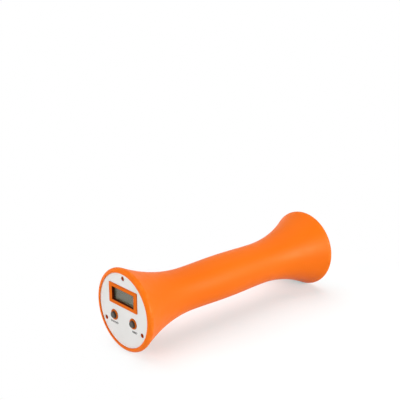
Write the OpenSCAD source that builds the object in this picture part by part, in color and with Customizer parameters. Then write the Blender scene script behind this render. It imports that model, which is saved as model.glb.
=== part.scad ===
// Hand weight with a digital repetition counter, lying on its two rims.
// The long axis runs along Y, the display faces -Y and the floor is at z = 0.
// Depths are measured along the axis from the front rim plane, towards the rear.

/* [Grip shell] */
// Length of the shell from rim plane to rim plane
length = 180; // [170:1:220]
// Diameter over the flared rims
rim_d = 58.2; // [56.5:0.1:66]
// Radius that rounds the lip of each rim
rim_round = 2.4; // [2:0.1:2.8]
// Width of the flat ring between the lip and the end seat
rim_flat = 0.6; // [0.4:0.1:1.2]
// Slope of the flare where it leaves the rim, in degrees
flare_angle = 27.5; // [25:0.5:30]
// Diameter of the grip at its two necks
neck_d = 31; // [29.5:0.5:36]
// How far the grip swells in radius between the necks
swell = 0.65; // [0.1:0.05:1.5]
// Wall of the shell, at the flares and at the necks
wall = 2.6; // [2:0.1:3]

/* [End seats] */
// How far the labels lie below the rim planes
label_recess = 0.8; // [0.5:0.1:1.2]
// Thickness of the labels
label_t = 0.3; // [0.2:0.1:0.6]
// Thickness of the front cap's plate
cap_t = 2.5; // [2.4:0.1:3.2]
// Thickness of the rear cap's plate
rear_cap_t = 2.5; // [2:0.1:3.2]
// Width of the ledge that each cap seats on
ledge_w = 1.9; // [1.5:0.1:2.3]
// How far the spigot of each cap reaches past its ledge
spigot_l = 1.8; // [1.6:0.1:2.4]
// Thickness of the spigot
spigot_t = 1.4; // [1:0.1:1.8]
// Height of the snap bead on the rear spigot
bead_h = 0.35; // [0.2:0.05:0.5]

/* [Display] */
// Width of the window
window_w = 23.4; // [20:0.1:25]
// Height of the window
window_h = 9.4; // [7:0.1:10.4]
// Height of the window's centre above the axis
window_y = 9.4; // [8.6:0.1:10]
// Width of the frame at the sides of the window
bezel_side = 3.3; // [2:0.1:3.6]
// Width of the frame above and below the window
bezel_edge = 2.5; // [1.8:0.1:2.8]
// How far the frame and the button collars stand above the label
bezel_rise = 0.5; // [0.2:0.1:0.8]
// Thickness of the clear window
lens_t = 0.8; // [0.5:0.1:1.2]
// How far the clear window reaches past its opening
lens_lap = 0.7; // [0.4:0.1:1]
// Thickness of each glass of the display panel
glass_t = 0.7; // [0.5:0.1:1]
// How far the display panel reaches past the window
glass_lap = 1.3; // [1.1:0.1:1.5]
// Width of the panel's contact ledge
contact_w = 2.2; // [1.8:0.1:2.6]
// Wall of the panel holder
holder_wall = 1.8; // [1.2:0.1:2.2]

/* [Buttons] */
// Diameter of the buttons
button_d = 4.4; // [3.9:0.1:4.8]
// Distance of each button from the upright centre line
button_x = 10.2; // [9:0.1:11]
// Height of the buttons' centres, below the axis
button_y = -6.2; // [-7.5:0.1:-5.6]
// How far the buttons stand above their collars
button_rise = 1.4; // [0.8:0.1:1.8]
// Travel of the buttons
button_travel = 0.5; // [0.2:0.05:0.6]
// Thickness of the flange that keeps each button in
flange_t = 0.7; // [0.5:0.1:0.9]
// How far the flange reaches past the button
flange_w = 0.9; // [0.6:0.1:1]
// Width of the raised collar round each button
collar_w = 1.5; // [1:0.1:1.7]
// Side of the square key switches
switch_w = 6; // [5.6:0.1:6.4]
// Diameter of the plunger in each key switch
plunger_d = 3.4; // [2.6:0.1:3.6]

/* [Fasteners] */
// Distance of the cap screws from the cap's edge
screw_inset = 3.4; // [3:0.1:3.8]
// Diameter of the screw heads
head_d = 3; // [2.6:0.1:3.3]
// Thickness of the screw heads
head_t = 0.8; // [0.7:0.1:1]
// Diameter of the screw shanks
shank_d = 1.6; // [1.2:0.1:1.8]
// Length of the cap screws under the head
cap_screw_l = 7; // [5:0.5:8]
// Plate of the cap under each cap screw's head
head_seat_t = 0.6; // [0.5:0.1:0.9]
// Diameter of the screw bosses in the shell
boss_d = 5.2; // [4.4:0.1:5.6]
// Length of the screw bosses in the shell
boss_l = 12; // [10:0.5:14]
// Diameter of the board posts on the cap
post_d = 3.8; // [3.2:0.1:4]

/* [Circuit] */
// Space between the cap and the board
board_gap = 3.6; // [3.4:0.1:5]
// Thickness of the board
board_t = 1.2; // [0.8:0.1:1.6]
// Distance of the board's edge from the cap's edge
board_inset = 4.4; // [4:0.1:4.8]
// Diameter of the button cell
cell_d = 11.6; // [9.5:0.1:12]
// Thickness of the button cell
cell_t = 5.4; // [3:0.1:5.6]
// Height of the button cell's centre, below the axis
cell_y = -4.4; // [-5:0.1:-4]
// Diameter of the ball in the motion switch
ball_d = 2.5; // [2:0.1:3]
// Free travel of the ball
ball_travel = 2; // [1:0.1:2.5]

/* [Weight] */
// Length of the steel rod
rod_l = 100; // [85:1:110]
// Thickness of the cushions at the ends of the rod
cushion_t = 3; // [2:0.5:5]
// Length of the hub on the module cover
hub_l = 20; // [10:0.5:22]
// Diameter of the hubs that press on the cushions
hub_d = 16; // [12:0.5:18]
// Wall of the module cover and of the hubs
cover_wall = 1.4; // [1:0.1:1.8]

/* [Clearances] */
// Gap round the caps, labels and other seated pieces
seat_gap = 0.1; // [0.05:0.05:0.15]
// Running gap round the buttons and plungers
run_gap = 0.05; // [0.03:0.01:0.08]
// Gap round the rod, the bosses and other loose pieces
free_gap = 0.2; // [0.1:0.05:0.3]

/* [Hidden] */

$fn = 96;
// Steps along the quarter round of the lip, its turn into the flare, the flare and half of the grip
lip_steps = 9;
turn_steps = 3;
flare_steps = 24;
grip_steps = 12;
// Steps along small rounded edges
edge_steps = 6;
// Extra length of a cut past the face that it opens
past = 1;

orange = [1, 0.4, 0.08];
white = [0.9, 0.9, 0.88];
dark_grey = [0.3, 0.29, 0.28];
steel = [0.62, 0.63, 0.65];
black = [0.08, 0.08, 0.08];

// The outer form
rim_r = rim_d / 2;
neck_r = neck_d / 2;
axis_z = rim_r;
flare_start = rim_round * (1 + sin(flare_angle));
flare_top_r = rim_r - rim_round * (1 - cos(flare_angle));
flare_h = flare_top_r - neck_r;
flare_l = 2 * flare_h / tan(flare_angle);
flare_end = flare_start + flare_l;
grip_half = length / 2 - flare_end;

// The end seats
seat_r = rim_r - rim_round - rim_flat;
cap_r = seat_r - seat_gap;
ledge_r = seat_r - ledge_w;
spigot_r = ledge_r - seat_gap;
cap_front = label_recess + label_t;
cap_back = cap_front + cap_t;
rear_seat = label_recess + label_t + rear_cap_t;
bead_depth = rear_seat + spigot_l - 2 * bead_h;

// The display stack, from the cap's back face outwards and then inwards
bezel_front = label_recess - bezel_rise;
lcd_front = cap_back - glass_t;
lens_back = lcd_front - seat_gap;
lens_front = lens_back - lens_t;
lcd_back = cap_back + glass_t;
board_front = cap_back + board_gap;
board_back = board_front + board_t;
bezel_corner = 0.5;
holder_corner = 4;
zebra_w = 1.5;
glass_w = window_w + 2 * glass_lap;
glass_h = window_h + 2 * glass_lap + contact_w;
glass_y = window_y - contact_w / 2;
zebra_y = glass_y - glass_h / 2 + contact_w / 2;

// The buttons and their switches
button_r = button_d / 2;
button_top = bezel_front - button_rise;
button_edge = 0.4;
button_points = [for (side = [-1, 1]) [side * button_x, button_y]];
collar_r = button_r + collar_w;
collar_edge = 0.2;
flange_play = 0.3;
flange_pocket = flange_t + flange_play;
flange_front = cap_back - flange_pocket;
flange_back = flange_front + flange_t;
flange_r = button_r + flange_w;
switch_clear = 0.5;
switch_top = cap_back + switch_clear;
switch_roof = 0.7;
switch_floor = 0.5;
switch_cell_r = 2.35;
plunger_r = plunger_d / 2;
plunger_flange_t = 0.4;
plunger_flange_r = switch_cell_r - free_gap;
plunger_foot_r = 1.1;
chamber_front = switch_top + switch_roof;
chamber_back = board_front - switch_floor;
dome_t = 0.1;
dome_h = button_travel + dome_t;
dome_r = switch_cell_r - run_gap;
plunger_foot = chamber_back - dome_h - dome_t;
terminal_size = [1, 0.8];
terminal_t = 0.3;
terminal_y = 2.2;

// The fasteners
screw_r = cap_r - screw_inset;
screw_angles = [90, 210, 330];
boss_r = boss_d / 2;
head_r = head_d / 2;
head_hole_r = head_r + seat_gap;
head_seat = cap_back - head_seat_t;
cross_w = 0.4;
cross_l = head_d - 2 * cross_w;
cross_t = 0.5;
board_r = cap_r - board_inset;
post_r = post_d / 2;
post_margin = 1.6;
post_ring_r = board_r - post_r - post_margin;
post_angles = [-3, 183, 270];
brim_t = 1.2;
brim_r = screw_r - boss_r - free_gap;
head_margin = 0.6;
cover_r = post_ring_r - head_r - head_margin;
cover_in_r = cover_r - cover_wall;
wall_room = 0.5;
post_end_t = 0.8;
pilot_past = 0.2;
board_screw_l = brim_t + board_t + board_gap - post_end_t;
board_pilot = cap_back + post_end_t - pilot_past;

// The battery and its contacts
cell_r = cell_d / 2;
cell_step_w = 1.3;
cell_step_t = 0.5;
cell_edge = 0.4;
spring_h = 0.5;
spring_rim_r = 3.4;
spring_crown_r = 1.4;
spring_eye_r = 0.6;
cell_front = board_back + spring_h;
cell_back = cell_front + cell_t;
contact_t = 0.3;
tray_wall = 1.1;
tray_drop = 1.6;
tray_r = cell_r + seat_gap + tray_wall;
tray_back = cell_back - tray_drop;
tray_slot = 5;
strap_w = 4;
strap_x = tray_r + free_gap;
strap_foot = 1.5;

// The motion switch, which stands along Z behind the board
can_wall = 0.35;
ball_gap = 0.15;
can_inner_r = ball_d / 2 + ball_gap;
can_r = can_inner_r + can_wall;
can_y = -1;
base_t = 1.2;
pin_r = 0.25;
pin_x = 0.8;
pin_rise = 0.3;
pin_drop = 0.9;
ball_rest = base_t + pin_rise + ball_gap + ball_d / 2;
can_l = ball_rest + ball_d / 2 + ball_travel + ball_gap + can_wall;
can_depth = board_back + can_r + run_gap;
can_x = -beside_wall(can_y + can_l, can_r);

// The other parts of the circuit
blob_r = 3.6;
blob_h = 1.3;
blob_y = cover_in_r - wall_room - blob_r;
crystal_r = 1;
crystal_l = 6;
crystal_y = -1;
crystal_x = beside_wall(crystal_y + crystal_l, crystal_r);

// The cover, the rod and what clamps it
cover_room = 0.5;
cover_inside = cell_back + contact_t + cover_room;
cover_back = cover_inside + cover_wall;
hub_end = cover_back + hub_l;
hub_r = hub_d / 2;
bore_r = neck_r - wall;
rod_r = bore_r - free_gap;
rod_edge = 1;
rod_front = hub_end + cushion_t;
rod_back = rod_front + rod_l;
rear_hub_end = rod_back + cushion_t;
cushion_inset = 1.5;
cushion_r = rod_r - cushion_inset;
cushion_edge = 0.6;
gusset_t = 1.2;
gusset_w = 5;
gusset_l = 9;
gusset_count = 6;
rear_plate = length - rear_seat;
rear_cap_face = rear_plate + rear_cap_t;
rear_cap_middle = rear_plate + rear_cap_t / 2;

function polar(r, a) = [r * cos(a), r * sin(a)];
// How far to the side a piece lies, of half width r and with its top at y, to clear the cover's wall
function beside_wall(y, r) = sqrt(pow(cover_in_r - wall_room, 2) - y * y) - r;
screw_points = [for (a = screw_angles) polar(screw_r, a)];
post_points = [for (a = post_angles) polar(post_ring_r, a)];

// A point of the rounded lip, at an angle that starts from the rim plane
function lip_point(a) = [rim_r - rim_round * (1 - sin(a)), rim_round * (1 - cos(a))];

// Half of the outer outline as [radius, depth], from the front rim to the middle
outer_half = concat(
    [for (i = [0 : lip_steps]) lip_point(90 * i / lip_steps)],
    [for (i = [1 : turn_steps]) lip_point(90 + flare_angle * i / turn_steps)],
    [for (i = [1 : flare_steps])
        let (u = i / flare_steps)
        [neck_r + flare_h * pow(1 - u, 2), flare_start + flare_l * u]],
    [for (i = [1 : grip_steps])
        let (u = i / grip_steps)
        [neck_r + swell * (1 - cos(180 * u)) / 2, flare_end + grip_half * u]]
);

function outer_r(d) =
    d < flare_start ? flare_top_r :
    d < flare_end ? neck_r + flare_h * pow(1 - (d - flare_start) / flare_l, 2) :
    neck_r;
function flare_slope(d) =
    d < flare_start ? tan(flare_angle) :
    d < flare_end ? tan(flare_angle) * (1 - (d - flare_start) / flare_l) :
    0;
function cavity_r(d) =
    min(ledge_r, outer_r(d) - wall * sqrt(1 + pow(flare_slope(d), 2)));

// Half of the hollow, from the mouth of an end seat to the straight bore
function cavity_half(seat) = concat(
    [[0, -past], [seat_r, -past], [seat_r, seat]],
    [for (i = [0 : flare_steps])
        let (d = seat + (flare_end - seat) * i / flare_steps)
        [cavity_r(d), d]]
);

function mirrored(points) = [for (i = [len(points) - 1 : -1 : 0]) [points[i][0], length - points[i][1]]];

outer_outline = concat([[0, 0]], outer_half, mirrored(outer_half), [[0, length]]);
cavity_outline = concat(cavity_half(cap_back), mirrored(cavity_half(rear_seat)));

// A rectangle in the plane of radius and depth
function band(r_in, r_out, front, back) = [[r_in, front], [r_out, front], [r_out, back], [r_in, back]];

// A disc whose two edges are cut at 45 degrees
function edged_disc(r, front, back, edge) = [
    [0, front], [r - edge, front], [r, front + edge],
    [r, back - edge], [r - edge, back], [0, back]
];

// Turns an outline of [radius, depth] about a line parallel to the axis
module turned(points, at = [0, 0]) {
    translate([at[0], -length / 2, axis_z + at[1]])
        rotate([-90, 0, 0])
            rotate_extrude()
                polygon(points);
}

// Raises a flat shape, drawn as seen from the front, between two depths
module plate(front, back) {
    translate([0, max(front, back) - length / 2, axis_z])
        rotate([90, 0, 0])
            linear_extrude(abs(back - front))
                children();
}

module rounded_rect(w, h, r) {
    square([w - 2 * r, h], center = true);
    square([w, h - 2 * r], center = true);
    for (x = [-1, 1], y = [-1, 1])
        translate([x * (w / 2 - r), y * (h / 2 - r)])
            circle(r);
}

module window_shape(lap) {
    translate([0, window_y])
        square([window_w + 2 * lap, window_h + 2 * lap], center = true);
}

module bezel_shape(gap) {
    translate([0, window_y])
        rounded_rect(
            window_w + 2 * (bezel_side + gap),
            window_h + 2 * (bezel_edge + gap),
            bezel_corner + gap
        );
}

module glass_shape(gap) {
    translate([0, glass_y])
        square([glass_w + 2 * gap, glass_h + 2 * gap], center = true);
}

module rear_glass_shape(gap) {
    window_shape(glass_lap + gap);
}

module holder_shape(gap) {
    translate([0, glass_y])
        rounded_rect(
            glass_w + 2 * (holder_wall + gap),
            glass_h + 2 * (holder_wall + gap),
            holder_corner + gap
        );
}

module zebra_shape(gap) {
    translate([0, zebra_y])
        square([window_w + 2 * gap, zebra_w + 2 * gap], center = true);
}

module discs(points, r) {
    for (p = points)
        translate(p)
            circle(r);
}

// Thin triangular ribs between a plate and the hub that stands on it
module gussets(from, reach) {
    translate([0, from - length / 2, axis_z])
        rotate([-90, 0, 0])
            for (i = [0 : gusset_count - 1])
                rotate([0, 0, (i + 0.5) * 360 / gusset_count])
                    rotate([90, 0, 0])
                        linear_extrude(gusset_t, center = true)
                            polygon([
                                [hub_r - cover_wall / 2, 0],
                                [hub_r + gusset_w, 0],
                                [hub_r - cover_wall / 2, reach]
                            ]);
}

// Shell with its end seats, screw bosses and the groove for the rear snap bead
module grip_shell() {
    color(orange)
        difference() {
            union() {
                difference() {
                    turned(outer_outline);
                    turned(cavity_outline);
                }
                screw_bosses();
            }
            for (p = screw_points)
                turned(band(0, shank_d / 2 + run_gap, cap_back - past, head_seat + cap_screw_l + past), p);
            turned(bead_outline(0));
        }
}

module screw_bosses() {
    intersection() {
        union() {
            for (p = screw_points)
                turned(band(0, boss_r, cap_back, cap_back + boss_l), p);
        }
        turned([for (p = outer_outline) [max(0, p[0] - wall / 2), p[1]]]);
    }
}

// Outline of the snap bead, less a gap, or of its groove with no gap
function bead_outline(gap) = [
    [spigot_r - bead_h, length - bead_depth - 2 * bead_h + gap],
    [ledge_r + bead_h - gap, length - bead_depth - bead_h / 2],
    [ledge_r + bead_h - gap, length - bead_depth + bead_h / 2],
    [spigot_r - bead_h, length - bead_depth + 2 * bead_h - gap]
];

module front_cap() {
    color(orange)
        difference() {
            union() {
                turned(band(0, cap_r, cap_front, cap_back));
                plate(bezel_front, cap_front + cap_t / 2)
                    bezel_shape(0);
                for (p = button_points)
                    turned(edged_disc(collar_r, bezel_front, cap_front + cap_t / 2, collar_edge), p);
                plate(cap_back - cap_t / 2, cap_back + spigot_l)
                    difference() {
                        circle(spigot_r);
                        circle(spigot_r - spigot_t);
                        discs(screw_points, boss_r + free_gap);
                        holder_shape(free_gap);
                    }
                for (p = post_points)
                    turned(band(0, post_r, cap_back - cap_t / 2, board_front), p);
            }
            plate(bezel_front - past, cap_back)
                window_shape(0);
            plate(lens_front, cap_back + past)
                window_shape(lens_lap + seat_gap);
            plate(lcd_front, cap_back + past)
                glass_shape(seat_gap);
            for (p = button_points)
                button_openings(p);
            for (p = screw_points) {
                turned(band(0, head_hole_r, cap_front - past, head_seat), p);
                turned(band(0, shank_d / 2 + run_gap, cap_front, cap_back + past), p);
            }
            for (p = post_points)
                turned(band(0, shank_d / 2 + run_gap, board_pilot, board_front + past), p);
        }
}

// Hole for a button through its collar, with the pocket for the button's flange behind
module button_openings(at) {
    turned(band(0, button_r + run_gap, bezel_front - past, cap_back), at);
    turned(band(0, flange_r + free_gap, flange_front, cap_back + past), at);
}

module face_label() {
    color(white)
        plate(label_recess, cap_front)
            difference() {
                circle(cap_r);
                bezel_shape(seat_gap);
                discs(screw_points, head_hole_r);
                discs(button_points, collar_r + seat_gap);
            }
}

module rear_cap() {
    color(orange)
        union() {
            turned(band(0, cap_r, rear_plate, rear_cap_face));
            turned(band(spigot_r - spigot_t, spigot_r, rear_plate - spigot_l, rear_cap_middle));
            turned(bead_outline(seat_gap));
            turned(band(hub_r - cover_wall, hub_r, rear_hub_end, rear_cap_middle));
            mirror([0, 1, 0])
                gussets(length - rear_cap_middle, gusset_l);
        }
}

module rear_label() {
    color(white)
        turned(band(0, cap_r, rear_cap_face, length - label_recess));
}

module cap_screws() {
    color(steel)
        for (p = screw_points)
            screw(p, head_seat - head_t, 1, cap_screw_l);
}

// A pan-head screw with a cross recess, whose head starts at a depth and whose shank points
// inwards (way = 1) or outwards (way = -1)
module screw(at, head_depth, way, shank_l) {
    under = head_depth + way * head_t;
    tip = under + way * shank_l;
    difference() {
        union() {
            turned(band(0, head_r, head_depth, under), at);
            turned(band(0, shank_d / 2, under - way * head_t / 2, tip), at);
        }
        for (turn = [0, 90])
            plate(head_depth - way * past, head_depth + way * cross_t)
                translate(at)
                    rotate(turn)
                        square([cross_l, cross_w], center = true);
    }
}

module weight_rod() {
    color(steel)
        turned(edged_disc(rod_r, rod_front, rod_back, rod_edge));
}

module front_cushion() {
    color(black)
        turned(edged_disc(cushion_r, hub_end, rod_front, cushion_edge));
}

module rear_cushion() {
    color(black)
        turned(edged_disc(cushion_r, rod_back, rear_hub_end, cushion_edge));
}

module module_cover() {
    color(dark_grey)
        difference() {
            union() {
                turned([
                    [cover_in_r, board_back], [brim_r, board_back], [brim_r, board_back + brim_t],
                    [cover_r, board_back + brim_t], [cover_r, cover_back], [hub_r, cover_back],
                    [hub_r, hub_end], [hub_r - cover_wall, hub_end], [hub_r - cover_wall, cover_back],
                    [0, cover_back], [0, cover_inside], [cover_in_r, cover_inside]
                ]);
                gussets(cover_inside + cover_wall / 2, gusset_l);
            }
            for (p = post_points)
                turned(band(0, shank_d / 2 + run_gap, board_back - past, board_back + brim_t + past), p);
        }
}

module board_screws() {
    color(steel)
        for (p = post_points)
            screw(p, board_back + brim_t + head_t, -1, board_screw_l);
}

module lcd_window() {
    color([0.75, 0.8, 0.78, 0.4])
        plate(lens_front, lens_back)
            window_shape(lens_lap);
}

// Two glasses, the front one longer by the contact ledge
module lcd_panel() {
    color([0.5, 0.52, 0.46])
        union() {
            plate(lcd_front, cap_back)
                glass_shape(0);
            plate(cap_back - glass_t / 2, lcd_back)
                rear_glass_shape(0);
        }
}

module lcd_holder() {
    color(white)
        difference() {
            plate(cap_back, board_front)
                difference() {
                    holder_shape(0);
                    discs(screw_points, boss_r + free_gap);
                    zebra_shape(run_gap);
                    window_shape(-holder_wall);
                }
            plate(cap_back - past, lcd_back)
                rear_glass_shape(seat_gap);
        }
}

module zebra_strip() {
    color([0.85, 0.5, 0.6])
        plate(cap_back, board_front)
            zebra_shape(0);
}

module main_board() {
    color([0.1, 0.4, 0.2])
        plate(board_front, board_back)
            difference() {
                circle(board_r);
                discs(screw_points, boss_r + 2 * free_gap);
                discs(post_points, shank_d / 2 + run_gap);
            }
}

// Epoxy dome over the chip
module chip_blob() {
    color(black)
        turned(concat(
            [for (i = [0 : edge_steps])
                let (a = 90 * i / edge_steps)
                [blob_r * sin(a), board_back + blob_h * cos(a)]],
            [[0, board_back]]
        ), [0, blob_y]);
}

// Places a piece that stands along Z at a depth behind the front
module standing(x, depth, y) {
    translate([x, depth - length / 2, axis_z + y])
        children();
}

module crystal() {
    color(steel)
        standing(crystal_x, board_back + crystal_r + run_gap, crystal_y)
            cylinder(h = crystal_l, r = crystal_r);
}

module button(side) {
    color(dark_grey)
        turned(concat(
            [[0, button_top]],
            [for (i = [0 : edge_steps])
                let (a = 90 * i / edge_steps)
                [button_r - button_edge * (1 - sin(a)), button_top + button_edge * (1 - cos(a))]],
            [[button_r, flange_front], [flange_r, flange_front], [flange_r, flange_back], [0, flange_back]]
        ), [side * button_x, button_y]);
}

module button_left() {
    button(-1);
}

module button_right() {
    button(1);
}

// Plunger with the flange that holds it under the switch's roof and the foot that meets the dome
module plunger(side) {
    color(black)
        turned([
            [0, flange_back], [plunger_r, flange_back],
            [plunger_r, chamber_front + run_gap], [plunger_flange_r, chamber_front + run_gap],
            [plunger_flange_r, chamber_front + run_gap + plunger_flange_t],
            [plunger_foot_r, chamber_front + run_gap + plunger_flange_t],
            [plunger_foot_r, plunger_foot], [0, plunger_foot]
        ], [side * button_x, button_y]);
}

module plunger_left() {
    plunger(-1);
}

module plunger_right() {
    plunger(1);
}

// Sprung snap dome on the floor of the switch
module dome(side) {
    function rise(u) = dome_h * (1 - u * u);
    color(steel)
        turned(concat(
            [for (i = [0 : edge_steps])
                let (u = i / edge_steps)
                [dome_r * u, chamber_back - dome_t - rise(u)]],
            [for (i = [edge_steps : -1 : 0])
                let (u = i / edge_steps)
                [dome_r * u, chamber_back - rise(u)]]
        ), [side * button_x, button_y]);
}

module dome_left() {
    dome(-1);
}

module dome_right() {
    dome(1);
}

module switch_housing(side) {
    at = [side * button_x, button_y];
    color(black)
        difference() {
            plate(switch_top, board_front)
                translate(at)
                    square(switch_w, center = true);
            turned(band(0, plunger_r + run_gap, switch_top - past, chamber_back), at);
            turned(band(0, switch_cell_r, chamber_front, chamber_back), at);
        }
}

module switch_left() {
    switch_housing(-1);
}

module switch_right() {
    switch_housing(1);
}

module switch_terminals() {
    color(steel)
        plate(board_front - terminal_t, board_front)
            for (side = [-1, 1], x = [-1, 1], y = [-1, 1])
                translate([
                    side * button_x + x * (switch_w + terminal_size[0]) / 2,
                    button_y + y * terminal_y
                ])
                    square(terminal_size, center = true);
}

module sensor_can() {
    color(steel)
        standing(can_x, can_depth, can_y)
            difference() {
                cylinder(h = can_l, r = can_r);
                translate([0, 0, -past])
                    cylinder(h = can_l - can_wall + past, r = can_inner_r);
            }
}

module sensor_base() {
    color(black)
        standing(can_x, can_depth, can_y)
            difference() {
                cylinder(h = base_t, r = can_inner_r - run_gap);
                for (x = [-pin_x, pin_x])
                    translate([x, 0, -past])
                        cylinder(h = base_t + 2 * past, r = pin_r + run_gap);
            }
}

// Two pins that pass through the base and turn to the board
module sensor_pins() {
    color(steel)
        for (x = [-pin_x, pin_x])
            standing(can_x + x, can_depth, can_y - pin_drop)
                union() {
                    cylinder(h = pin_drop + base_t + pin_rise, r = pin_r);
                    sphere(r = pin_r);
                    rotate([90, 0, 0])
                        cylinder(h = can_depth - board_back, r = pin_r);
                }
}

module sensor_ball() {
    color(steel)
        standing(can_x, can_depth, can_y + ball_rest)
            sphere(r = ball_d / 2);
}

// Button cell with its smaller negative cap towards the board
module battery_cell() {
    step_r = cell_r - cell_step_w;
    step = cell_front + cell_step_t;
    color(steel)
        turned([
            [0, cell_front], [step_r, cell_front], [step_r, step],
            [cell_r - cell_edge, step], [cell_r, step + cell_edge],
            [cell_r, cell_back - cell_edge], [cell_r - cell_edge, cell_back], [0, cell_back]
        ], [0, cell_y]);
}

module battery_tray() {
    color(black)
        plate(board_back, tray_back)
            translate([0, cell_y])
                difference() {
                    circle(tray_r);
                    circle(cell_r + seat_gap);
                    translate([0, tray_r])
                        square([tray_slot, 2 * tray_r], center = true);
                }
}

// Spring strap over the cell, with a leg and a foot on each side
module contact_positive() {
    color(steel)
        translate([0, 0, cell_y])
            union() {
                plate(cell_back, cell_back + contact_t)
                    square([2 * (strap_x + contact_t), strap_w], center = true);
                for (side = [-1, 1]) {
                    plate(board_back, cell_back + contact_t)
                        translate([side * (strap_x + contact_t / 2), 0])
                            square([contact_t, strap_w], center = true);
                    plate(board_back, board_back + contact_t)
                        translate([side * (strap_x + strap_foot / 2), 0])
                            square([strap_foot, strap_w], center = true);
                }
            }
}

// Dished spring between the board and the cell
module contact_negative() {
    t = contact_t / 2;
    color(steel)
        turned([
            [spring_rim_r, board_back], [spring_rim_r, board_back + t],
            [spring_crown_r, cell_front], [spring_eye_r, cell_front],
            [spring_eye_r, cell_front - t], [spring_crown_r - t, cell_front - t],
            [spring_rim_r - 2 * t, board_back]
        ], [0, cell_y]);
}

grip_shell();
front_cap();
face_label();
rear_cap();
rear_label();
cap_screws();
weight_rod();
front_cushion();
rear_cushion();
module_cover();
board_screws();
lcd_window();
lcd_panel();
lcd_holder();
zebra_strip();
main_board();
chip_blob();
crystal();
button_left();
button_right();
plunger_left();
plunger_right();
dome_left();
dome_right();
switch_left();
switch_right();
switch_terminals();
sensor_can();
sensor_base();
sensor_pins();
sensor_ball();
battery_cell();
battery_tray();
contact_positive();
contact_negative();
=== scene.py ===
"""Looks of a hand weight with a digital repetition counter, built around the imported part.

Everything is in metres, in the part's own frame: the long axis lies along Y, the display faces -Y
and the floor is at z = 0.
"""

import math
from typing import NamedTuple

import bmesh
import bpy
from mathutils import Matrix, Vector


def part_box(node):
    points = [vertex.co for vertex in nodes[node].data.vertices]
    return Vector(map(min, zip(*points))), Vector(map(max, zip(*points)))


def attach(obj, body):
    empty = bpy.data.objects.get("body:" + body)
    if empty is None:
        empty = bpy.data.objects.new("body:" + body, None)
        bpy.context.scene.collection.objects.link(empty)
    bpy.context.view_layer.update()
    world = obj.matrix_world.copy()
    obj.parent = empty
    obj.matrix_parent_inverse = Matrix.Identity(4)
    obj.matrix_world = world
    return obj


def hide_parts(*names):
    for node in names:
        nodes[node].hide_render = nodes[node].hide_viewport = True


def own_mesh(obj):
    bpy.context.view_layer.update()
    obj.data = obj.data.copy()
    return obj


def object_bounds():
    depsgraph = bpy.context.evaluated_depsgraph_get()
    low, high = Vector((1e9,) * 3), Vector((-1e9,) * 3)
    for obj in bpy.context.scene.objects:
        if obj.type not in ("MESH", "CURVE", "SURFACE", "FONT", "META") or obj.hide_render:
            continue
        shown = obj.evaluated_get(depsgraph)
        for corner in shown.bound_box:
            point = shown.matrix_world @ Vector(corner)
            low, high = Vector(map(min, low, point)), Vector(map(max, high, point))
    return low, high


MM = 0.001


def mm(value):
    """A length or place in millimetres, as metres."""
    return value * MM


class Caption(NamedTuple):
    """Words printed under a button: their size, and where they lie from the button's centre."""

    words: str
    height: float
    spacing: float
    across: float
    up: float


# The camera, fitted to the photograph's outline of the object
CAMERA_AT = mm(Vector((419.2, -394.33, 265.77)))
CAMERA_TURN = math.radians(48.304)
CAMERA_DOWN = math.radians(17.258)
CAMERA_ROLL = math.radians(-0.291)
CAMERA_LENS = 76.518
CAMERA_CLIP = (0.01, 100)
SENSOR_W = 36

# Colours of the pieces that show, as linear values
ORANGE = (0.95, 0.182, 0.005)
ORANGE_DEEP = (0.92, 0.159, 0.004)
ORANGE_RUBBED = (0.95, 0.26, 0.03)
ORANGE_CAP = (0.82, 0.152, 0.003)
# The next two are painted shade on the front cap's orange: brown on the button collars, and dark brown on
# the walls of the display's opening and next to the buttons
COLLAR_PAINTED_SHADE = (0.6, 0.13, 0.012)
PAINTED_SHADE_BROWN = (0.13, 0.022, 0.005)
WHITE_FILM = (0.83, 0.83, 0.815)
WHITE_FILM_AGED = (0.79, 0.79, 0.77)
BUTTON_GREY = (0.055, 0.046, 0.038)
WINDOW_TINT = (0.95, 0.97, 0.95)
LCD_GREY = (0.094, 0.086, 0.056)
LCD_REST = (0.073, 0.066, 0.043)
INK_GREY = (0.03, 0.03, 0.03)
# The next two are painted shade: dark red on the screw heads, standing in for the shaded orange of the
# holes they sit in
SCREW_PAINTED_SHADE = (0.3, 0.04, 0.014)
SCREW_PAINTED_SHADE_DEEP = (0.2, 0.026, 0.01)
SCREW_STEEL = (0.55, 0.55, 0.56)

# Colours of the pieces inside, from their darker patches to their lighter ones
BRIGHT_STEEL = ((0.5, 0.5, 0.51), (0.62, 0.62, 0.63))
TURNED_STEEL = ((0.4, 0.4, 0.41), (0.55, 0.55, 0.56))
BLACK_PLASTIC = ((0.012, 0.012, 0.012), (0.025, 0.025, 0.025))
CUSHION_RUBBER = ((0.015, 0.015, 0.015), (0.03, 0.03, 0.03))
HOLDER_PLASTIC = ((0.62, 0.62, 0.6), (0.7, 0.7, 0.68))
BOARD_LAMINATE = ((0.01, 0.09, 0.035), (0.02, 0.13, 0.05))
CHIP_EPOXY = ((0.008, 0.008, 0.008), (0.018, 0.018, 0.018))
ZEBRA_LAYERS = ((0.03, 0.03, 0.03), (0.6, 0.32, 0.36))

# How the plastics, the rubber and the clear window bend light
PLASTIC_IOR = 1.5
FILM_IOR = 1.55
RUBBER_IOR = 1.45
WINDOW_IOR = 1.3

# How far the rubbing reaches in from the rims of the grip
RUBBED_W = mm(1.2)

# The display's opening in the front cap, across and up, and how its painted shade ends past the walls
OPENING_SIZE = (mm(23.4), mm(9.4))
PAINTED_SHADE_END = (mm(0.03), mm(0.1))

# The button collars, painted in shade: the radii of their outside and of the darker painted shade next to
# the button, and how softly both end
COLLAR_R = mm(3.7)
COLLAR_FADE = mm(0.05)
COLLAR_SHADE_R = mm(2.55)
COLLAR_SHADE_FADE = mm(0.15)

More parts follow.
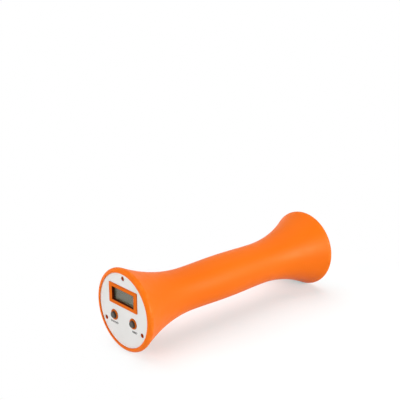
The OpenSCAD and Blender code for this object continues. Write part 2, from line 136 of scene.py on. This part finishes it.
# How far the screws' heads reach back from their faces, and how softly their painted shade ends there
SCREW_HEAD_T = mm(0.8)
SCREW_PAINTED_SHADE_FADE = mm(0.1)

# Size of the connector strip's wave texture; a pair of layers takes up just under a third of it
ZEBRA_SIZE = mm(2.4)

# Broken edges: their widths and steps, what counts as sharp, and how close points are joined
CAP_EDGE = mm(0.12)
LABEL_EDGE = mm(0.06)
EDGE_STEPS = 2
SHARP_ANGLE = math.radians(35)
JOIN_DISTANCE = mm(0.002)

# The print under the buttons: its thickness, how close its points are joined, its boldness and its words
PRINT_T = mm(0.015)
PRINT_JOIN = PRINT_T / 10
PRINT_WEIGHT = mm(0.095)
CAPTIONS = {
    "button_left": Caption("ON/OFF", height=mm(2.0), spacing=1.2, across=mm(-0.3), up=mm(-5.6)),
    "button_right": Caption("RESET", height=mm(1.8), spacing=1.12, across=mm(1.5), up=mm(-5.8)),
}

# The digits of the display, at rest
DIGITS = 4
DIGIT_W = mm(3.7)
DIGIT_H = mm(6.6)
DIGIT_STEP = mm(5.3)
DIGIT_SLANT = math.tan(math.radians(7))
SEGMENT_W = mm(0.8)
SEGMENT_GAP = mm(0.12)
SEGMENT_T = mm(0.03)

# The floor: its half width, and its colour and roughness in the light that it throws back
FLOOR_HALF = 8.0
FLOOR_WHITE = (0.74, 0.73, 0.72)
FLOOR_ROUGHNESS = 0.9

# The floor as it is seen near the object: its colour under the lamps, and the glow added to it
FLOOR_SHADE = (0.82, 0.6, 0.59)
FLOOR_GLOW = (0.2, 0.44, 0.45)

# Where the floor shows the shadow: round this point, fading to plain white between two distances
SHADOW_CENTRE = (0.06, 0.03, 0)
SHADOW_REACH = (0.11, 0.155)

# The room's light, the ceiling's share of it, and how bright the ceiling looks beside plain white
ROOM_LEVEL = 0.4
CEILING_SHARE = 0.5
CEILING_SEEN = 0.1

# Angles above the floor, in degrees, at which the ceiling begins and is full
CEILING_ANGLES = (15, 60)

# The open side of the room: its direction, the cosines between which the light falls, and what is left
OPEN_SIDE = Vector((0.66, -0.62, 0.42)).normalized()
OPEN_SIDE_REACH = (0.3, 0.9)
OPEN_SIDE_SHARE = 0.35

# Where the lamps aim
LAMP_AIM = Vector((0, 0, 0.03))

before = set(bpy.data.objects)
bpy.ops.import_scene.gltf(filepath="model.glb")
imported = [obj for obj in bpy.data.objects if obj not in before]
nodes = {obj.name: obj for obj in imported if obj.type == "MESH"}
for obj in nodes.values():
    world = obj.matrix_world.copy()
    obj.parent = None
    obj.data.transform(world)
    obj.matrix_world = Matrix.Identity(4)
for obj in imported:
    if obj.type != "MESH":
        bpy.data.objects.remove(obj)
cad_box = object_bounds()
AXIS_Z = cad_box[1][2] / 2
RIM_R = cad_box[1][0]


def scaled(colour, amount):
    """A colour made darker or lighter."""
    return tuple(amount * part for part in colour)


class Nodes:
    """A node tree, with short calls that add nodes to it and link them."""

    def __init__(self, tree):
        self.tree = tree

    def add(self, kind, *inputs, operation=None, **named):
        """A new node, whose inputs are given in order or by name, as values or other nodes' outputs."""
        node = self.tree.nodes.new(kind)
        if operation:
            node.operation = operation
        for socket, value in zip(node.inputs, inputs):
            self.feed(socket, value)
        for name, value in named.items():
            self.feed(node.inputs[name.replace("_", " ")], value)
        return node

    def feed(self, socket, value):
        """Sets a socket to a value, or links it to another node's output."""
        if isinstance(value, bpy.types.NodeSocket):
            self.tree.links.new(value, socket)
        else:
            socket.default_value = value

    def combine(self, operation, first, second):
        """Two numbers joined by a math operation."""
        return self.add("ShaderNodeMath", first, second, operation=operation).outputs["Value"]

    def vector(self, operation, *inputs):
        """A node that reckons with places or directions."""
        return self.add("ShaderNodeVectorMath", *inputs, operation=operation)

    def eased(self, value, start, end, low=0.0, high=1.0):
        """A number that eases from low to high as the value runs from start to end."""
        ease = self.add("ShaderNodeMapRange", value, start, end, low, high)
        ease.interpolation_type = "SMOOTHSTEP"
        return ease.outputs["Result"]

    def blended(self, factor, first, second):
        """The first shader where the factor is 0, the second where it is 1."""
        return self.add("ShaderNodeMixShader", factor, first, second).outputs["Shader"]

    def seen_directly(self):
        """1 for the rays that show the background: to the eye, in a mirror or through glass."""
        rays = self.add("ShaderNodeLightPath")
        seen = rays.outputs["Is Camera Ray"]
        for name in ("Is Glossy Ray", "Is Transmission Ray"):
            seen = self.combine("MAXIMUM", seen, rays.outputs[name])
        return seen


class Finish(Nodes):
    """A material with one Principled shader, and short calls for what varies over its surface."""

    def __init__(self, name, **sockets):
        self.material = bpy.data.materials.new(name)
        self.material.use_nodes = True
        super().__init__(self.material.node_tree)
        self.shader = self.tree.nodes["Principled BSDF"]
        self.surface = self.tree.nodes["Material Output"].inputs["Surface"]
        self.place = self.add("ShaderNodeTexCoord").outputs["Object"]
        for socket, value in sockets.items():
            self.shader.inputs[socket.replace("_", " ")].default_value = value

    def noise(self, blotch, detail=3.0, stretch=None):
        """Soft noise with blotches of about one size, drawn out along an axis where stretch says so."""
        place = self.place
        if stretch:
            place = self.add("ShaderNodeMapping", Vector=place, Scale=stretch).outputs["Vector"]
        return self.add("ShaderNodeTexNoise", Vector=place, Scale=1 / blotch, Detail=detail).outputs["Fac"]

    def between(self, factor, low, high, start=0.3, end=0.7):
        """A number or colour that runs from low to high as the factor runs from start to end."""
        if not isinstance(low, tuple):
            return self.add("ShaderNodeMapRange", factor, start, end, low, high).outputs["Result"]
        ramp = self.add("ShaderNodeValToRGB", Fac=factor)
        for stop, position, colour in zip(ramp.color_ramp.elements, (start, end), (low, high)):
            stop.position = position
            stop.color = (*colour, 1)
        return ramp.outputs["Color"]

    def drift(self, low, high, blotch, detail=3.0, stretch=None, start=0.3, end=0.7):
        """A number or colour that wanders from low to high over blotches of about one size."""
        return self.between(self.noise(blotch, detail, stretch), low, high, start, end)

    def mixed(self, factor, low, high):
        """The colour low where the factor is 0, and high where it is 1."""
        mix = self.add("ShaderNodeMixRGB", Fac=factor)
        for socket, colour in (("Color1", low), ("Color2", high)):
            self.feed(mix.inputs[socket], (*colour, 1) if isinstance(colour, tuple) else colour)
        return mix.outputs["Color"]

    def from_line(self, x, z):
        """Distance from a line along Y."""
        across = self.add("ShaderNodeMapping", Vector=self.place, Location=(-x, 0, -z), Scale=(1, 0, 1))
        return self.vector("LENGTH", across.outputs["Vector"]).outputs["Value"]

    def beyond_opening(self, middle, size):
        """Distance outwards from the walls of a rectangular opening along Y, negative inside it."""
        half = (size[0] / 2, 0, size[1] / 2)
        offset = self.vector("SUBTRACT", self.place, middle).outputs["Vector"]
        span = self.vector("ABSOLUTE", offset).outputs["Vector"]
        beyond = self.vector("SUBTRACT", span, half).outputs["Vector"]
        parts = self.add("ShaderNodeSeparateXYZ", beyond)
        return self.combine("MAXIMUM", parts.outputs["X"], parts.outputs["Z"])

    def colour(self, source):
        self.feed(self.shader.inputs["Base Color"], source)

    def rough(self, source):
        self.feed(self.shader.inputs["Roughness"], source)

    def grain(self, size, depth, detail=3.0):
        """Fine bumps of a real size and depth on top of the shape."""
        bump = self.add("ShaderNodeBump", Height=self.noise(size, detail), Distance=depth, Strength=1.0)
        self.feed(self.shader.inputs["Normal"], bump.outputs["Normal"])


def orange_plastic():
    """Satin moulded plastic with a fine spark texture, pigment clouds along the bar and rubbed rims."""
    finish = Finish(
        "orange_plastic", IOR=PLASTIC_IOR, Specular_IOR_Level=0.17, Specular_Tint=(1, 0.85, 0.5, 1),
    )
    cloud = finish.drift(
        ORANGE_DEEP, ORANGE, blotch=mm(38), detail=2.0, stretch=(1, 0.45, 1), start=0.25, end=0.6,
    )
    rim = finish.between(finish.from_line(0, AXIS_Z), 0.0, 1.0, start=RIM_R - RUBBED_W, end=RIM_R)
    patches = finish.drift(0.0, 0.5, blotch=mm(3), detail=5.0, start=0.45, end=0.65)
    finish.colour(finish.mixed(finish.combine("MULTIPLY", rim, patches), cloud, ORANGE_RUBBED))
    finish.rough(finish.drift(0.42, 0.52, blotch=mm(5)))
    finish.grain(mm(0.45), depth=mm(0.03))
    return finish.material


def cap_plastic(name, painted_shade=None):
    """The end plates' moulding, a deeper orange than the grip and less glossy, with fine flow lines, and
    painted shade where it is given.
    """
    finish = Finish(name, IOR=PLASTIC_IOR, Specular_IOR_Level=0.06)
    colour = finish.drift(scaled(ORANGE_CAP, 0.93), ORANGE_CAP, blotch=mm(9), stretch=(0.4, 1, 1))
    finish.colour(painted_shade(finish, colour) if painted_shade else colour)
    finish.rough(finish.drift(0.42, 0.54, blotch=mm(3)))
    finish.grain(mm(0.3), depth=mm(0.008), detail=2.0)
    return finish.material


def front_painted_shade(finish, colour):
    """Painted shade on the front cap: dark brown on the walls of the display's opening, and brown collars
    painted darker next to their buttons.
    """
    wall = finish.beyond_opening(centre("lcd_window"), OPENING_SIZE)
    # Painted shade on the walls of the display's opening
    colour = finish.mixed(finish.between(wall, 0.0, 1.0, *PAINTED_SHADE_END), PAINTED_SHADE_BROWN, colour)
    for button in CAPTIONS:
        middle = centre(button)
        radius = finish.from_line(middle.x, middle.z)
        # Painted shade on the collars, darkest next to the button
        outside = finish.between(radius, 0.0, 1.0, COLLAR_R, COLLAR_R + COLLAR_FADE)
        inside = finish.between(radius, 1.0, 0.0, COLLAR_SHADE_R, COLLAR_SHADE_R + COLLAR_SHADE_FADE)
        collar_shaded = finish.mixed(outside, COLLAR_PAINTED_SHADE, colour)
        colour = finish.mixed(inside, collar_shaded, PAINTED_SHADE_BROWN)
    return colour


def white_film():
    """Printed polycarbonate film with a velvet face."""
    finish = Finish("white_film", IOR=FILM_IOR)
    finish.colour(finish.drift(WHITE_FILM_AGED, WHITE_FILM, blotch=mm(16), detail=4.0, start=0.2, end=0.5))
    finish.rough(finish.drift(0.38, 0.5, blotch=mm(2.5)))
    finish.grain(mm(0.25), depth=mm(0.006), detail=1.0)
    return finish.material


def ink():
    """Dark grey print on the film, a little uneven."""
    finish = Finish("ink", IOR=PLASTIC_IOR)
    finish.colour(finish.drift(INK_GREY, scaled(INK_GREY, 1.5), blotch=mm(0.5)))
    finish.rough(finish.drift(0.5, 0.6, blotch=mm(0.8)))
    return finish.material


def grey_button():
    """Dark moulded keys with a matt spark texture, polished a little by fingers."""
    finish = Finish("grey_button", IOR=PLASTIC_IOR)
    finish.colour(finish.drift(BUTTON_GREY, scaled(BUTTON_GREY, 1.25), blotch=mm(1.5)))
    finish.rough(finish.drift(0.36, 0.52, blotch=mm(1.2)))
    finish.grain(mm(0.2), depth=mm(0.01), detail=1.0)
    return finish.material


def clear_window():
    """Clear moulded window that lets the lamps through to the display."""
    finish = Finish("clear_window", IOR=WINDOW_IOR, Transmission_Weight=1.0, Base_Color=(*WINDOW_TINT, 1))
    finish.rough(finish.drift(0.02, 0.06, blotch=mm(4)))
    open_way = finish.add("ShaderNodeBsdfTransparent").outputs["BSDF"]
    shadow_rays = finish.add("ShaderNodeLightPath").outputs["Is Shadow Ray"]
    finish.feed(finish.surface, finish.blended(shadow_rays, finish.shader.outputs["BSDF"], open_way))
    return finish.material


def lcd_glass():
    """Reflective display glass behind its polariser."""
    finish = Finish("lcd_glass", IOR=PLASTIC_IOR, Specular_IOR_Level=0.2)
    finish.colour(finish.drift(scaled(LCD_GREY, 0.93), LCD_GREY, blotch=mm(7)))
    finish.rough(finish.drift(0.3, 0.4, blotch=mm(1)))
    finish.grain(mm(0.15), depth=mm(0.003), detail=1.0)
    return finish.material


def lcd_segment():
    """Display segments at rest, just darker than the glass around them."""
    finish = Finish("lcd_segment", IOR=PLASTIC_IOR, Specular_IOR_Level=0.2)
    finish.colour(finish.drift(scaled(LCD_REST, 0.95), LCD_REST, blotch=mm(3)))
    finish.rough(finish.drift(0.3, 0.4, blotch=mm(1)))
    return finish.material


def screw_shade_paint():
    """Steel screws whose heads are painted dark red, a painted shade standing in for the shaded orange of
    their holes.
    """
    finish = Finish("screw_shade_paint", IOR=PLASTIC_IOR)
    depth = finish.add("ShaderNodeSeparateXYZ", finish.place).outputs["Y"]
    head_end = front("cap_screws") + SCREW_HEAD_T
    bare = finish.between(depth, 0.0, 1.0, head_end, head_end + SCREW_PAINTED_SHADE_FADE)
    # Painted shade: dark red on the heads
    hole_shade = finish.drift(SCREW_PAINTED_SHADE_DEEP, SCREW_PAINTED_SHADE, blotch=mm(0.6))
    finish.colour(finish.mixed(bare, hole_shade, SCREW_STEEL))
    finish.feed(finish.shader.inputs["Metallic"], bare)
    finish.rough(finish.drift(0.42, 0.58, blotch=mm(0.4)))
    finish.grain(mm(0.3), depth=mm(0.01), detail=1.0)
    return finish.material


def zebra_rubber():
    """Silicone strip with thin layers of conductive and clear rubber."""
    finish = Finish("zebra_rubber", IOR=RUBBER_IOR, Roughness=0.5)
    waves = finish.add("ShaderNodeTexWave", Vector=finish.place, Scale=1 / ZEBRA_SIZE)
    finish.colour(finish.between(waves.outputs["Fac"], *ZEBRA_LAYERS))
    return finish.material


def inner_finish(name, colours, blotch, rough, grain=None, metallic=0.0, stretch=None):
    """A finish whose colour and roughness drift, for the pieces inside; grain is its size and depth."""
    finish = Finish(name, Metallic=metallic, IOR=PLASTIC_IOR)
    finish.colour(finish.drift(*colours, blotch, stretch=stretch))
    finish.rough(finish.drift(*rough, blotch / 2, stretch=stretch))
    if grain:
        finish.grain(*grain)
    return finish.material


def dress(material, *names):
    """Gives nodes of the part their material."""
    for name in names:
        nodes[name].material_slots[0].material = material


def dress_outside():
    dress(orange_plastic(), "grip_shell")
    dress(cap_plastic("cap_plastic"), "rear_cap")
    dress(cap_plastic("front_cap_plastic_painted_shade", front_painted_shade), "front_cap")
    dress(white_film(), "face_label", "rear_label")
    dress(grey_button(), "button_left", "button_right")
    dress(clear_window(), "lcd_window")
    dress(lcd_glass(), "lcd_panel")
    dress(screw_shade_paint(), "cap_screws")


def dress_inside():
    dress(zebra_rubber(), "zebra_strip")
    dress(
        inner_finish("bright_steel", BRIGHT_STEEL, mm(3), rough=(0.25, 0.4), metallic=1.0),
        "board_screws", "crystal", "dome_left", "dome_right", "switch_terminals", "sensor_can",
        "sensor_pins", "sensor_ball", "battery_cell", "contact_positive", "contact_negative",
    )
    dress(
        inner_finish(
            "turned_steel", TURNED_STEEL, mm(6), rough=(0.3, 0.45), grain=(mm(0.5), mm(0.01)),
            metallic=1.0, stretch=(0.05, 1, 0.05),
        ),
        "weight_rod",
    )
    dress(
        inner_finish(
            "black_plastic", BLACK_PLASTIC, mm(2), rough=(0.4, 0.55), grain=(mm(0.2), mm(0.008)),
        ),
        "module_cover", "plunger_left", "plunger_right", "switch_left", "switch_right",
        "sensor_base", "battery_tray",
    )
    dress(
        inner_finish(
            "cushion_rubber", CUSHION_RUBBER, mm(1), rough=(0.75, 0.9), grain=(mm(0.4), mm(0.05)),
        ),
        "front_cushion", "rear_cushion",
    )
    dress(inner_finish("holder_plastic", HOLDER_PLASTIC, mm(4), rough=(0.4, 0.5)), "lcd_holder")
    dress(
        inner_finish(
            "board_laminate", BOARD_LAMINATE, mm(1.2), rough=(0.3, 0.45), grain=(mm(0.4), mm(0.01)),
        ),
        "main_board",
    )
    dress(inner_finish("chip_epoxy", CHIP_EPOXY, mm(1.5), rough=(0.25, 0.4)), "chip_blob")


def soft_edges(node, width=0.0):
    """Joins a node's faces, breaks its sharp edges by a real width and shades its curves smoothly."""
    obj = nodes[node]
    join = obj.modifiers.new("join", "WELD")
    join.merge_threshold = JOIN_DISTANCE
    if width:
        edge = obj.modifiers.new("edge", "BEVEL")
        edge.width = width
        edge.segments = EDGE_STEPS
        edge.limit_method = "ANGLE"
        edge.angle_limit = SHARP_ANGLE
    shade = obj.modifiers.new("shade", "WEIGHTED_NORMAL")
    shade.keep_sharp = True


def shape_nodes():
    soft_edges("front_cap", CAP_EDGE)
    for name in ("face_label", "rear_label"):
        soft_edges(name, LABEL_EDGE)
    for name in ("grip_shell", "rear_cap", "button_left", "button_right", "cap_screws"):
        soft_edges(name)


def add_object(name, data):
    """A new object in the scene."""
    obj = bpy.data.objects.new(name, data)
    bpy.context.scene.collection.objects.link(obj)
    return obj


def centre(node):
    """The middle of a node's box."""
    low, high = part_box(node)
    return (Vector(low) + Vector(high)) / 2


def front(node):
    """The y of a node's face on the display's side."""
    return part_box(node)[0][1]


def put_on(obj, material):
    """Finishes a piece of the fixed housing."""
    obj.data.materials.append(material)
    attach(obj, "housing")


def lettering(caption):
    """The mesh of a caption's words, flat about their own centre."""
    curve = bpy.data.curves.new("writing", "FONT")
    curve.body = caption.words
    curve.align_x = "CENTER"
    curve.align_y = "CENTER"
    curve.size = caption.height
    curve.space_character = caption.spacing
    curve.offset = PRINT_WEIGHT
    curve.extrude = PRINT_T / 2
    writing = bpy.data.objects.new("writing", curve)
    mesh = bpy.data.meshes.new_from_object(writing)
    bpy.data.objects.remove(writing)
    bpy.data.curves.remove(curve)
    return mesh


def print_caption(button, material):
    """Words under a button, as a thin closed layer of print on the label."""
    caption = CAPTIONS[button]
    middle = centre(button)
    at = Vector((middle.x + caption.across, front("face_label") - PRINT_T / 2, middle.z + caption.up))
    name = f"caption_{button}"
    mesh = lettering(caption)
    mesh.name = name
    mesh.transform(Matrix.Translation(at) @ Matrix.Rotation(math.pi / 2, 4, "X"))
    shape = bmesh.new()
    shape.from_mesh(mesh)
    bmesh.ops.remove_doubles(shape, verts=shape.verts, dist=PRINT_JOIN)
    shape.to_mesh(mesh)
    shape.free()
    put_on(add_object(name, mesh), material)


def segment_outlines():
    """The seven bars of a digit about its own centre, each with six corners and pointed ends."""
    side = (DIGIT_W - SEGMENT_W) / 2
    rise = (DIGIT_H - SEGMENT_W) / 2
    flat = 2 * side - 2 * SEGMENT_GAP
    upright = rise - 2 * SEGMENT_GAP
    bars = [((0, up), flat, False) for up in (-rise, 0, rise)]
    bars += [((across, up), upright, True) for across in (-side, side) for up in (-rise / 2, rise / 2)]
    half = SEGMENT_W / 2
    for (across, up), length, turned in bars:
        tip = length / 2
        bend = tip - half
        corners = [(-tip, 0), (-bend, -half), (bend, -half), (tip, 0), (bend, half), (-bend, half)]
        if turned:
            corners = [(-z, x) for x, z in corners]
        yield [(across + x, up + z) for x, z in corners]


def display_digits(material):
    """The resting digits, a thin printed layer on the panel's front, behind the window."""
    middle = centre("lcd_window")
    face = front("lcd_panel")
    shape = bmesh.new()
    for place in range(DIGITS):
        start = middle.x + (place - (DIGITS - 1) / 2) * DIGIT_STEP
        for outline in segment_outlines():
            near, far = (
                [shape.verts.new((start + x + DIGIT_SLANT * z, y, middle.z + z)) for x, z in outline]
                for y in (face - SEGMENT_T, face)
            )
            shape.faces.new(near)
            shape.faces.new(far[::-1])
            for corner in range(len(outline)):
                shape.faces.new((near[corner], far[corner], far[corner - 1], near[corner - 1]))
    bmesh.ops.recalc_face_normals(shape, faces=shape.faces)
    mesh = bpy.data.meshes.new("display_digits")
    shape.to_mesh(mesh)
    shape.free()
    put_on(add_object("display_digits", mesh), material)


def snap_dome(side):
    """A switch's dome, copied as a fixed piece of the housing in place of the part's own; on the real
    switch its plunger presses it flat, but the copy does not bend.
    """
    node = f"dome_{side}"
    middle = centre(node)
    dome = add_object(f"snap_{node}", nodes[node].data.copy())
    dome.data.materials.clear()
    put_on(dome, nodes[node].material_slots[0].material)
    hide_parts(node)
    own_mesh(dome)


def studio_floor():
    """White sweep that keeps the shadow near the object and is plain white further off."""
    half = FLOOR_HALF
    corners = [(-half, -half, 0), (half, -half, 0), (half, half, 0), (-half, half, 0)]
    mesh = bpy.data.meshes.new("floor")
    mesh.from_pydata(corners, [], [(0, 1, 2, 3)])
    floor = add_object("floor", mesh)
    finish = Finish(
        "floor", Base_Color=(*FLOOR_WHITE, 1), Roughness=FLOOR_ROUGHNESS, Specular_IOR_Level=0.0,
    )
    shade = finish.add("ShaderNodeBsdfDiffuse", Color=(*FLOOR_SHADE, 1)).outputs["BSDF"]
    glow = finish.add("ShaderNodeEmission", Color=(*FLOOR_GLOW, 1)).outputs["Emission"]
    shadowed = finish.add("ShaderNodeAddShader", shade, glow).outputs["Shader"]
    white = finish.add("ShaderNodeEmission").outputs["Emission"]
    away = finish.vector("DISTANCE", finish.place, SHADOW_CENTRE).outputs["Value"]
    sweep = finish.blended(finish.eased(away, *SHADOW_REACH), shadowed, white)
    bounce = finish.shader.outputs["BSDF"]
    finish.feed(finish.surface, finish.blended(finish.seen_directly(), bounce, sweep))
    floor.data.materials.append(finish.material)


def studio_world():
    """Pale light, dimmer from the ceiling and the open side, that is seen as white below the ceiling."""
    world = bpy.data.worlds.new("studio")
    world.use_nodes = True
    bpy.context.scene.world = world
    room = Nodes(world.node_tree)
    direction = room.add("ShaderNodeTexCoord").outputs["Generated"]
    height = room.vector("DOT_PRODUCT", direction, (0, 0, 1)).outputs["Value"]
    openness = room.vector("DOT_PRODUCT", direction, OPEN_SIDE).outputs["Value"]
    low, high = (math.sin(math.radians(angle)) for angle in CEILING_ANGLES)
    level = room.eased(height, low, high, ROOM_LEVEL, ROOM_LEVEL * CEILING_SHARE)
    share = room.eased(openness, *OPEN_SIDE_REACH, 1.0, OPEN_SIDE_SHARE)
    look = room.eased(height, low, high, 1.0, CEILING_SEEN)
    light, view = (
        room.add("ShaderNodeBackground", Color=(1, 1, 1, 1), Strength=strength).outputs["Background"]
        for strength in (room.combine("MULTIPLY", level, share), look)
    )
    surface = world.node_tree.nodes["World Output"].inputs["Surface"]
    room.feed(surface, room.blended(room.seen_directly(), light, view))


def softbox(name, at, size, watts, gloss=True, diffuse=True):
    """A soft lamp aimed at the object, which may be left out of its gloss or of its diffuse light."""
    lamp = bpy.data.lights.new(name, "AREA")
    lamp.shape = "RECTANGLE"
    lamp.size, lamp.size_y = size
    lamp.energy = watts
    obj = add_object(name, lamp)
    obj.visible_glossy = gloss
    obj.visible_diffuse = diffuse
    obj.location = at
    obj.rotation_mode = "QUATERNION"
    obj.rotation_quaternion = (LAMP_AIM - Vector(at)).to_track_quat("-Z", "Y")


def studio_lights():
    softbox("overhead", at=(-0.45, 0.2, 1.3), size=(2.0, 1.8), watts=15, gloss=False)
    softbox("side", at=(1.2, 0.05, 0.5), size=(0.9, 0.28), watts=9, gloss=False)
    softbox("rear_side", at=(0.9, 0.8, 0.48), size=(0.6, 0.2), watts=2.6)
    softbox("sheen", at=(1.1, 0.28, 0.33), size=(0.6, 0.35), watts=18, diffuse=False)
    softbox("front", at=(-0.35, -1.25, 0.42), size=(1.0, 0.6), watts=8)


def photo_camera():
    """The camera, at the photograph's place."""
    data = bpy.data.cameras.new("camera")
    data.lens = CAMERA_LENS
    data.sensor_width = SENSOR_W
    data.clip_start, data.clip_end = CAMERA_CLIP
    camera = add_object("camera", data)
    camera.matrix_world = (
        Matrix.Translation(CAMERA_AT)
        @ Matrix.Rotation(CAMERA_TURN, 4, "Z")
        @ Matrix.Rotation(math.pi / 2 - CAMERA_DOWN, 4, "X")
        @ Matrix.Rotation(CAMERA_ROLL, 4, "Z")
    )
    bpy.context.scene.camera = camera


dress_outside()
dress_inside()
shape_nodes()
print_ink = ink()
for button in CAPTIONS:
    print_caption(button, print_ink)
display_digits(lcd_segment())
for side in ("left", "right"):
    snap_dome(side)
studio_floor()
studio_world()
studio_lights()
photo_camera()
bpy.context.scene.view_settings.view_transform = "Standard"
